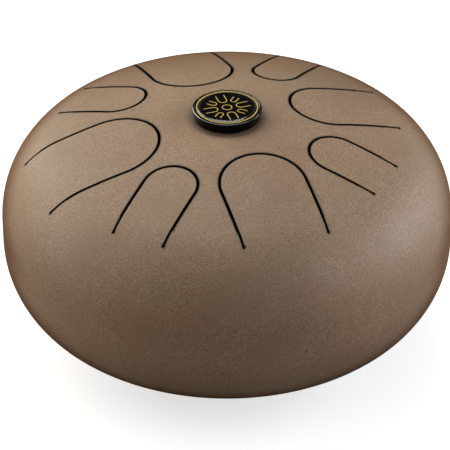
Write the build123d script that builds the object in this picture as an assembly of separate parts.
from build123d import *
import math
import os

# Steel tongue drum: two pressed steel shells joined at a flush equator seam, eight tuned
# tongues cut in the top shell, a tuning magnet under every tongue, a round sound port with a
# rubber edge trim underneath, three rubber feet and a round emblem over the centre hole.
#
# Frame: +Z up, origin on the resting plane under the centre of the drum. -Y points at the
# player, who has tongue 1 in front; the tongues are numbered clockwise seen from above.
# Millimetres and degrees throughout.

# ---- driving dimensions --------------------------------------------------------------------
BODY_R = 200.0          # outer radius at the equator
SHEET = 2.0             # steel sheet thickness
CROWN_R = 466.7         # outer radius of the spherical crown of each shell
FLAT_R = 40.0           # pressed flat in the middle of the top crown, the seat of the emblem
FLAT_BLEND_R = 64.0     # where the flat has run into the sphere
SHOULDER_RX = 71.4      # shoulder ellipse, horizontal semi-axis
SHOULDER_RZ = 77.5      # shoulder ellipse, vertical semi-axis
SHOULDER_X = BODY_R - SHOULDER_RX   # centre of the shoulder ellipse
SKIRT = 10.1            # straight wall from the seam to the start of the shoulder
BELLY_GAP = 4.5         # resting plane to the lowest point the bottom crown would reach

LIP_H = 7.0             # joggled lip of the bottom shell, above the seam
LIP_GAP = 0.05          # lip to inside of the top shell
JOG_LOW = 3.2           # start of the joggle below the seam
JOG_HIGH = 0.8          # end of the joggle below the seam
JOG_INNER_DROP = 1.0    # inner face of the joggle, below the outer one
WELD_TOP = 1.0          # lower edge of the top shell above the seam plane
WELD_CLEAR = 0.02

KERF = 2.6              # slot around each tongue
KERF_EXT = 2.0          # narrower extension at the end of each slot leg
EXT_LEN = 15.2
FLARE_LEN = 2.8         # widened end of the extension
FLARE_IN = 0.25
FLARE_OUT = 0.35
ROOT_GAP = 0.05         # clearance of the flexure line at each tongue root
ROOT_BACK = 1.7         # flexure line, short of the slot ends
ROOT_CUT_H = 24.0       # height of the flexure cut, through the sheet
SLOPE_STEP = 0.5        # half span over which the slope of the sheet is taken

# number: azimuth, slot centreline width, centreline tip radius, slot end radius
TONGUES = {
    1: (-90.7, 75.2, 62.4, 159.8),
    2: (-135.7, 47.9, 83.7, 165.8),
    3: (179.5, 82.4, 63.9, 173.4),
    4: (134.9, 47.6, 83.0, 155.8),
    5: (90.2, 73.2, 61.4, 161.4),
    6: (45.7, 41.7, 82.0, 155.2),
    7: (0.6, 65.4, 60.7, 151.0),
    8: (-44.8, 49.0, 81.3, 152.0),
}

MAGNET_R = 9.0
MAGNET_H = 3.0
MAGNET_CHAMFER = 0.4
MAGNET_CLEAR = 0.02
MAGNET_FROM_TIP = 20.0  # magnet centre beyond the tip centreline

PORT_R = 50.0           # sound port in the bottom shell
TRIM_NOSE = 3.0         # rubber edge trim, nose reaching into the port
TRIM_STRAIGHT = 5.2     # straight part of each leg along the sheet
TRIM_LEG = 5.95         # leg length with its rounded tip
TRIM_HALF = 2.8         # mid-sheet to the outside of a leg
TRIM_GROOVE = 1.05      # mid-sheet to the inside of a leg
TRIM_SEAT = 0.2         # groove floor, short of the port edge

FOOT_PITCH_R = 95.0
FOOT_AZIMUTHS = {"foot_front": -90.0, "foot_rear_right": 30.0, "foot_rear_left": 150.0}
FOOT_CLEAR = 0.02       # foot to shell
FOOT_LEN = 22.0         # before it is trimmed by the resting plane
FOOT_R_TOP = 13.0
FOOT_R_LOW = 11.0
FOOT_CHAMFER = 0.8
FOOT_RIM = 2.6          # chamfer and straight rim, before the taper
FOOT_BASE = 4.0         # rubber under the screw head
FOOT_BORE_R = 5.0
INSERT_R = 5.6
INSERT_H = 1.2
INSERT_CLEAR = 0.02

M4_SHANK_R = 1.95
M4_HOLE_R = 2.25
M4_HEAD_R = 3.8
M4_HEAD_H = 2.4
M4_HEAD_RIM = 0.35      # straight side of the head under its dome
M4_LEN = 11.6
M4_POINT = 0.5          # chamfer at the end of the shank
M4_SOCKET_AF = 2.5
M4_SOCKET_DEPTH = 1.5
M4_NUT_AF = 7.0
M4_NUT_H = 3.2
M4_WASHER_R = 4.5
M4_WASHER_H = 0.8
M4_WASHER_BORE_R = M4_HOLE_R - 0.1

M5_SHANK_R = 2.45
M5_HOLE_R = 2.75
M5_NUT_AF = 8.0
M5_NUT_H = 4.0
M5_WASHER_R = 5.0
M5_WASHER_H = 1.0

THREAD_CLEAR = 0.05     # shank to bore
WASHER_CLEAR = 0.03     # washer to sheet
NUT_CLEAR = 0.02        # nut to washer
NUT_CHAMFER_H = 0.5
NUT_FACE_RATIO = 1.02   # end face and widest radius of the nut's chamfer cone,
NUT_CORNER_RATIO = 1.16 # over half the width across flats

# emblem heights are above the flat of the top shell
EMBLEM_R = 30.5         # largest radius, at the rim bead
EMBLEM_TOP = 10.1       # top of the rim
EMBLEM_BASE = 1.02      # underside
EMBLEM_FLOOR = 9.1      # recess floor
RECESS_R = 28.05
PLATE_H = 2.2           # recess floor to the ceiling of the hollow underneath
HOLLOW_R = 26.9
BOSS_R = 6.5
STUD_ROOF = 1.2         # metal over the stud hole
STUD_PROUD = 1.6        # stud end past washer and nut, clearance to the nut included
STUD_CHAMFER_TOP = 0.4
STUD_CHAMFER_LOW = 0.5
DISC_R = 27.95
DISC_H = 0.8
LENS_R = 25.8           # clear dome
LENS_EDGE = 0.8         # its rounded edge
LENS_RISE = 0.7
STACK_CLEAR = 0.02      # under the disc and under the lens
GASKET_R = 28.2
GASKET_BORE_R = M5_HOLE_R + 0.4
GASKET_CLEAR = 0.02


# ---- profile of the pressed sheet ----------------------------------------------------------
class Skin:
    """Radial profile of one face of the sheet, offset inward; heights are above the seam."""

    def __init__(self, offset):
        self.crown = CROWN_R - offset
        self.rx = SHOULDER_RX - offset
        self.rz = SHOULDER_RZ - offset
        self.join_param, normal = self.find_join()
        self.join_r = SHOULDER_X + self.rx * math.cos(self.join_param)
        self.join_z = SKIRT + self.rz * math.sin(self.join_param)
        self.centre_z = self.join_z - self.crown * math.sin(normal)
        self.apex = self.centre_z + self.crown
        # the flat runs into the sphere through an arc of radius blend, over the angle lean
        self.lean = math.asin(FLAT_BLEND_R / CROWN_R)
        self.blend = CROWN_R * (1 - FLAT_R / FLAT_BLEND_R) - offset
        self.flat_z = (self.centre_z + (self.crown - self.blend) * math.cos(self.lean)
                       + self.blend)

    def find_join(self):
        """Ellipse parameter and normal angle where the shoulder is tangent to the crown."""
        low, high = 1e-4, math.pi / 2 - 1e-6
        for _ in range(200):
            param = (low + high) / 2
            normal = math.atan2(math.sin(param) / self.rz, math.cos(param) / self.rx)
            if SHOULDER_X + self.rx * math.cos(param) < self.crown * math.cos(normal):
                low = param
            else:
                high = param
        return param, normal

    def sphere_z(self, r):
        return self.centre_z + math.sqrt(self.crown ** 2 - r ** 2)

    def height(self, r):
        """Height of crown or shoulder at radius r, leaving out the pressed flat."""
        if r <= self.join_r:
            return self.sphere_z(r)
        x = (r - SHOULDER_X) / self.rx
        return SKIRT + self.rz * math.sqrt(1 - x * x)

    def edges(self, hole_r, flat):
        """Edges from hole_r on the crown out to the skirt, and their start point."""
        edges = []
        start = crown_start = (hole_r, self.sphere_z(hole_r))
        if flat:
            start = (hole_r, self.flat_z)
            flat_end = (FLAT_R, self.flat_z)
            half = self.lean / 2
            blend_mid = (FLAT_R + self.blend * math.sin(half),
                         self.flat_z - self.blend * (1 - math.cos(half)))
            crown_start = (FLAT_R + self.blend * math.sin(self.lean),
                           self.centre_z + self.crown * math.cos(self.lean))
            edges += [Line(start, flat_end), ThreePointArc(flat_end, blend_mid, crown_start)]
        mid = (math.acos(crown_start[0] / self.crown) + math.acos(self.join_r / self.crown)) / 2
        crown_mid = (self.crown * math.cos(mid), self.centre_z + self.crown * math.sin(mid))
        edges.append(ThreePointArc(crown_start, crown_mid, (self.join_r, self.join_z)))
        edges.append(Edge.make_ellipse(
            x_radius=self.rx, y_radius=self.rz, plane=Plane(origin=(SHOULDER_X, SKIRT, 0)),
            start_angle=0, end_angle=math.degrees(self.join_param),
        ))
        return edges, start


OUTER, INNER = Skin(0.0), Skin(SHEET)
SEAM_Z = BELLY_GAP + OUTER.apex
FLAT_Z = SEAM_Z + OUTER.flat_z


# ---- helpers -------------------------------------------------------------------------------
def spin(face):
    """Full revolution about Z of a section drawn as (radius, height)."""
    return revolve(Plane.XZ * face, axis=Axis.Z, revolution_arc=360)


def poly_face(*points):
    return make_face(Polyline(*points, close=True))


def lifted(part, height):
    return part.moved(Location((0, 0, height)))


def hexagon(across_flats, height):
    outline = RegularPolygon(radius=across_flats / 2, side_count=6, major_radius=False)
    return extrude(outline, amount=height)


def ring(bore_r, rim_r, thick, top):
    low = top - thick
    return spin(poly_face((bore_r, top), (rim_r, top), (rim_r, low), (bore_r, low)))


def hex_nut(across_flats, bore_r, height, top):
    face_r = across_flats / 2 * NUT_FACE_RATIO
    corner_r = across_flats / 2 * NUT_CORNER_RATIO
    low = top - height
    cone = spin(poly_face(
        (0, top), (face_r, top), (corner_r, top - NUT_CHAMFER_H),
        (corner_r, low + NUT_CHAMFER_H), (face_r, low), (0, low)))
    body = lifted(hexagon(across_flats, height), low) & cone
    return body - lifted(Cylinder(bore_r, height * 3), top - height / 2)


# ---- shells and seam -----------------------------------------------------------------------
WALL_IN = BODY_R - SHEET
LIP_OUT = WALL_IN - LIP_GAP
LIP_IN = LIP_OUT - SHEET


def half_shell(hole_r, outer_edge, inner_edge, flat):
    """Upright half shell; outer_edge and inner_edge are the points of its seam edge."""
    outer, outer_start = OUTER.edges(hole_r, flat)
    inner, inner_start = INNER.edges(hole_r, flat)
    wall = Polyline((BODY_R, SKIRT), *outer_edge, *inner_edge, (WALL_IN, SKIRT))
    return spin(make_face(outer + [wall] + inner[::-1] + [Line(inner_start, outer_start)]))


def make_top_blank():
    blank = half_shell(M5_HOLE_R, [(BODY_R, WELD_TOP)], [(WALL_IN, WELD_TOP)], flat=True)
    return lifted(blank, SEAM_Z)


def make_bottom_blank():
    """Drawn upright, with the seam edge pointing down, then turned over."""
    blank = half_shell(
        PORT_R,
        [(BODY_R, JOG_LOW), (LIP_OUT, JOG_HIGH), (LIP_OUT, -LIP_H)],
        [(LIP_IN, -LIP_H), (LIP_IN, JOG_HIGH + JOG_INNER_DROP),
         (WALL_IN, JOG_LOW + JOG_INNER_DROP)],
        flat=False,
    )
    return lifted(blank.rotate(Axis.X, 180), SEAM_Z)


def make_seam_weld():
    """Fills the groove over the joggle, flush with the wall."""
    inside = LIP_OUT + WELD_CLEAR
    top = WELD_TOP - WELD_CLEAR
    return lifted(spin(poly_face(
        (BODY_R, -JOG_LOW + WELD_CLEAR * 1.5), (inside, -JOG_HIGH + WELD_CLEAR),
        (inside, top), (BODY_R, top))), SEAM_Z)


# ---- tongues -------------------------------------------------------------------------------
def slot_face(width, tip, end):
    """U-shaped slot in plan: the local x axis runs outward along the tongue."""
    inner, outer = width / 2 - KERF / 2, width / 2 + KERF / 2
    ext_outer = inner + KERF_EXT
    arc_x, ext_x, flare_x = tip + width / 2, end - EXT_LEN, end - FLARE_LEN
    outside = [
        (end, inner - FLARE_IN), (end, ext_outer + FLARE_OUT), (flare_x, ext_outer + FLARE_OUT),
        (flare_x, ext_outer), (ext_x, ext_outer), (ext_x, outer), (arc_x, outer),
    ]
    inside = [(arc_x, inner), (flare_x, inner), (flare_x, inner - FLARE_IN), outside[0]]

    def mirrored(points):
        return [(x, -y) for x, y in reversed(points)]

    return make_face([
        Polyline(*outside),
        ThreePointArc((arc_x, outer), (arc_x - outer, 0), (arc_x, -outer)),
        Polyline(*mirrored(outside)),
        Polyline(*mirrored(inside)),
        ThreePointArc((arc_x, -inner), (arc_x - inner, 0), (arc_x, inner)),
        Polyline(*inside),
    ])


def slot_cutter(azimuth, width, tip, end):
    slot = extrude(slot_face(width, tip, end), amount=OUTER.apex + 5)
    return lifted(slot, SEAM_Z + 20).rotate(Axis.Z, azimuth)


def root_cutter(azimuth, width, end):
    """Thin slab across the tongue root, square to the sheet, between the slot legs."""
    x = end - ROOT_BACK
    half_len = width / 2 - KERF / 2 + KERF_EXT / 2
    leg_r = math.hypot(x, half_len)
    z = SEAM_Z + (OUTER.height(leg_r) + INNER.height(leg_r)) / 2
    drop = OUTER.height(x - SLOPE_STEP) - OUTER.height(x + SLOPE_STEP)
    slope = math.atan2(drop, 2 * SLOPE_STEP)
    plane = Plane(origin=(x, 0, z), x_dir=(0, 1, 0),
                  z_dir=(math.cos(slope), 0, -math.sin(slope)))
    return (plane * Box(2 * half_len, ROOT_CUT_H, ROOT_GAP)).rotate(Axis.Z, azimuth)


def nearest_tongue(solid):
    centre = solid.center()
    azimuth = math.degrees(math.atan2(centre.Y, centre.X))
    return min(TONGUES, key=lambda n: abs((TONGUES[n][0] - azimuth + 180) % 360 - 180))


def cut_top_shell():
    """The top shell and a dict of the tongues cut free from it."""
    slots = [slot_cutter(*tongue) for tongue in TONGUES.values()]
    roots = [root_cutter(azimuth, width, end) for azimuth, width, _, end in TONGUES.values()]
    pieces = (make_top_blank() - slots - roots).solids()
    assert len(pieces) == 1 + len(TONGUES), len(pieces)
    shell, *loose = sorted(pieces, key=lambda s: -s.volume)
    return shell, {nearest_tongue(solid): solid for solid in loose}


def make_magnet(azimuth, tip):
    """Disc whose top edge touches the inside of the crown, turned about the crown centre."""
    flat_r = MAGNET_R - MAGNET_CHAMFER
    top = math.sqrt((INNER.crown - MAGNET_CLEAR) ** 2 - flat_r ** 2)
    low = top - MAGNET_H
    disc = spin(poly_face(
        (0, top), (flat_r, top), (MAGNET_R, top - MAGNET_CHAMFER),
        (MAGNET_R, low + MAGNET_CHAMFER), (flat_r, low), (0, low)))
    lean = math.degrees(math.asin((tip + MAGNET_FROM_TIP) / INNER.crown))
    return lifted(disc.rotate(Axis.Y, lean).rotate(Axis.Z, azimuth), SEAM_Z + INNER.centre_z)


# ---- sound port trim -----------------------------------------------------------------------
def make_port_trim():
    mid_z = SEAM_Z - (OUTER.height(PORT_R) + INNER.height(PORT_R)) / 2
    tilt = math.asin(PORT_R / (CROWN_R - SHEET / 2))

    def at(along, across):
        """Point along the sheet away from the port, and across it towards the inside."""
        return (PORT_R + along * math.cos(tilt) - across * math.sin(tilt),
                mid_z + along * math.sin(tilt) + across * math.cos(tilt))

    half, groove, straight = TRIM_HALF, TRIM_GROOVE, TRIM_STRAIGHT
    tip_mid = (half + groove) / 2
    return spin(make_face([
        ThreePointArc(at(0, half), at(-TRIM_NOSE, 0), at(0, -half)),
        Line(at(0, -half), at(straight, -half)),
        ThreePointArc(at(straight, -half), at(TRIM_LEG, -tip_mid), at(straight, -groove)),
        Polyline(at(straight, -groove), at(-TRIM_SEAT, -groove),
                 at(-TRIM_SEAT, groove), at(straight, groove)),
        ThreePointArc(at(straight, groove), at(TRIM_LEG, tip_mid), at(straight, half)),
        Line(at(straight, half), at(0, half)),
    ]))


# ---- feet and their fasteners, drawn with z pointing out of the drum -----------------------
def foot_place(azimuth):
    """Frame on the outside of the bottom crown, its z axis along the outward normal."""
    lean = math.asin(FOOT_PITCH_R / CROWN_R)
    turn = math.radians(azimuth)
    return Plane(
        origin=(FOOT_PITCH_R * math.cos(turn), FOOT_PITCH_R * math.sin(turn),
                SEAM_Z - OUTER.height(FOOT_PITCH_R)),
        x_dir=(-math.sin(turn), math.cos(turn), 0),
        z_dir=(math.sin(lean) * math.cos(turn), math.sin(lean) * math.sin(turn),
               -math.cos(lean)),
    )


def foot_body():
    seat = FOOT_BASE - INSERT_H
    return spin(poly_face(
        (M4_HOLE_R, FOOT_CLEAR), (FOOT_R_TOP - FOOT_CHAMFER, FOOT_CLEAR),
        (FOOT_R_TOP, FOOT_CLEAR + FOOT_CHAMFER), (FOOT_R_TOP, FOOT_CLEAR + FOOT_RIM),
        (FOOT_R_LOW, FOOT_LEN), (FOOT_BORE_R, FOOT_LEN), (FOOT_BORE_R, FOOT_BASE),
        (INSERT_R, FOOT_BASE), (INSERT_R, seat), (M4_HOLE_R, seat)))


def foot_insert():
    return ring(M4_HOLE_R, INSERT_R - INSERT_CLEAR, INSERT_H - 2 * INSERT_CLEAR,
                FOOT_BASE - INSERT_CLEAR)


def foot_screw():
    """Domed socket-head screw seated on the insert."""
    top, end = FOOT_BASE + M4_HEAD_H, FOOT_BASE - M4_LEN
    crown_end = (M4_HEAD_R * 0.45, top)
    rim = (M4_HEAD_R, FOOT_BASE + M4_HEAD_RIM)
    body = spin(make_face([
        Polyline((0, top), crown_end),
        ThreePointArc(crown_end, (M4_HEAD_R * 0.86, FOOT_BASE + M4_HEAD_H * 0.72), rim),
        Polyline(rim, (M4_HEAD_R, FOOT_BASE), (M4_SHANK_R, FOOT_BASE),
                 (M4_SHANK_R, end + M4_POINT), (M4_SHANK_R - M4_POINT, end), (0, end), (0, top)),
    ]))
    return body - lifted(hexagon(M4_SOCKET_AF, 2 * M4_SOCKET_DEPTH), top - M4_SOCKET_DEPTH)


WASHER_TOP = -SHEET - WASHER_CLEAR      # washers lie against the inside of the sheet


def foot_washer():
    return ring(M4_WASHER_BORE_R, M4_WASHER_R, M4_WASHER_H, WASHER_TOP)


def foot_nut():
    return hex_nut(M4_NUT_AF, M4_SHANK_R + THREAD_CLEAR, M4_NUT_H,
                   WASHER_TOP - M4_WASHER_H - NUT_CLEAR)


# ---- emblem, drawn with z = 0 on the flat of the top shell ---------------------------------
def emblem_base():
    """Cap with a recess on top, a hollow underneath and a central boss for the stud."""
    base, floor, top = EMBLEM_BASE, EMBLEM_FLOOR, EMBLEM_TOP
    ceiling, hole_top = floor - PLATE_H, floor - STUD_ROOF
    hole_r = M5_SHANK_R + THREAD_CLEAR
    foot_in, foot_out = (28.3, base), (29.35, base + 1.1)       # rounded foot of the side
    bead_low, bead = (29.8, 6.6), (EMBLEM_R, 8.5)               # bead below the rim
    rim_out, rim_in = (29.4, top), (28.8, top)                  # level top of the rim
    recess_top = (RECESS_R, top - 0.65)
    return spin(make_face([
        Polyline((hole_r, base), (BOSS_R, base), (BOSS_R, ceiling), (HOLLOW_R, ceiling),
                 (HOLLOW_R, base), foot_in),
        ThreePointArc(foot_in, (29.05, base + 0.28), foot_out),
        Line(foot_out, bead_low),
        ThreePointArc(bead_low, (30.32, 7.5), bead),
        ThreePointArc(bead, (30.22, top - 0.42), rim_out),
        Line(rim_out, rim_in),
        ThreePointArc(rim_in, (28.3, top - 0.2), recess_top),
        Polyline(recess_top, (RECESS_R, floor), (0, floor), (0, hole_top),
                 (hole_r, hole_top), (hole_r, base)),
    ]))


DISC_Z = EMBLEM_FLOOR + STACK_CLEAR


def emblem_disc():
    disc = Cylinder(DISC_R, DISC_H, align=(Align.CENTER, Align.CENTER, Align.MIN))
    return lifted(disc, DISC_Z)


def emblem_lens():
    low = DISC_Z + DISC_H + STACK_CLEAR
    dome_low = low + LENS_EDGE
    top = dome_low + LENS_RISE
    dome_half = LENS_R - LENS_EDGE
    dome_r = (dome_half ** 2 + LENS_RISE ** 2) / (2 * LENS_RISE)
    mid = math.asin(dome_half / dome_r) / 2
    dome_mid = (dome_r * math.sin(mid), top - dome_r + dome_r * math.cos(mid))
    edge_mid = LENS_EDGE * math.sqrt(0.5)
    return spin(make_face([
        Line((0, low), (LENS_R, low)),
        ThreePointArc((LENS_R, low), (dome_half + edge_mid, low + edge_mid),
                      (dome_half, dome_low)),
        ThreePointArc((dome_half, dome_low), dome_mid, (0, top)),
        Line((0, top), (0, low)),
    ]))


def emblem_gasket():
    return ring(GASKET_BORE_R, GASKET_R, EMBLEM_BASE - 2 * GASKET_CLEAR,
                EMBLEM_BASE - GASKET_CLEAR)


def emblem_stud():
    top = EMBLEM_FLOOR - STUD_ROOF - THREAD_CLEAR
    low = WASHER_TOP - M5_WASHER_H - M5_NUT_H - STUD_PROUD
    return spin(poly_face(
        (0, top), (M5_SHANK_R - STUD_CHAMFER_TOP, top), (M5_SHANK_R, top - STUD_CHAMFER_TOP),
        (M5_SHANK_R, low + STUD_CHAMFER_LOW), (M5_SHANK_R - STUD_CHAMFER_LOW, low), (0, low)))


def emblem_washer():
    return ring(M5_HOLE_R, M5_WASHER_R, M5_WASHER_H, WASHER_TOP)


def emblem_nut():
    return hex_nut(M5_NUT_AF, M5_SHANK_R + THREAD_CLEAR, M5_NUT_H,
                   WASHER_TOP - M5_WASHER_H - NUT_CLEAR)


# ---- build and write the files -------------------------------------------------------------
top_shell, tongues = cut_top_shell()
places = {name: foot_place(azimuth) for name, azimuth in FOOT_AZIMUTHS.items()}
foot_holes = [place * Cylinder(M4_HOLE_R, 20) for place in places.values()]

nodes = {
    "top_shell": top_shell,
    "bottom_shell": make_bottom_blank() - foot_holes,
    "seam_weld": make_seam_weld(),
    "port_trim": make_port_trim(),
}

for n, (azimuth, _, tip, _) in TONGUES.items():
    nodes[f"tongue_{n}"] = tongues[n]
    nodes[f"tuning_magnet_{n}"] = make_magnet(azimuth, tip)

# everything below the resting plane is cut off the feet
below_floor = Box(900, 900, 60, align=(Align.CENTER, Align.CENTER, Align.MAX))
for name, place in places.items():
    nodes[name] = (place * foot_body()) - below_floor

for make in (foot_insert, foot_screw, foot_washer, foot_nut):
    nodes[make.__name__ + "s"] = Compound(children=[place * make() for place in places.values()])

for make in (emblem_base, emblem_disc, emblem_lens, emblem_gasket, emblem_stud,
             emblem_washer, emblem_nut):
    nodes[make.__name__] = lifted(make(), FLAT_Z)

os.makedirs("parts", exist_ok=True)
for name, shape in nodes.items():
    export_step(shape, f"parts/{name}.step")
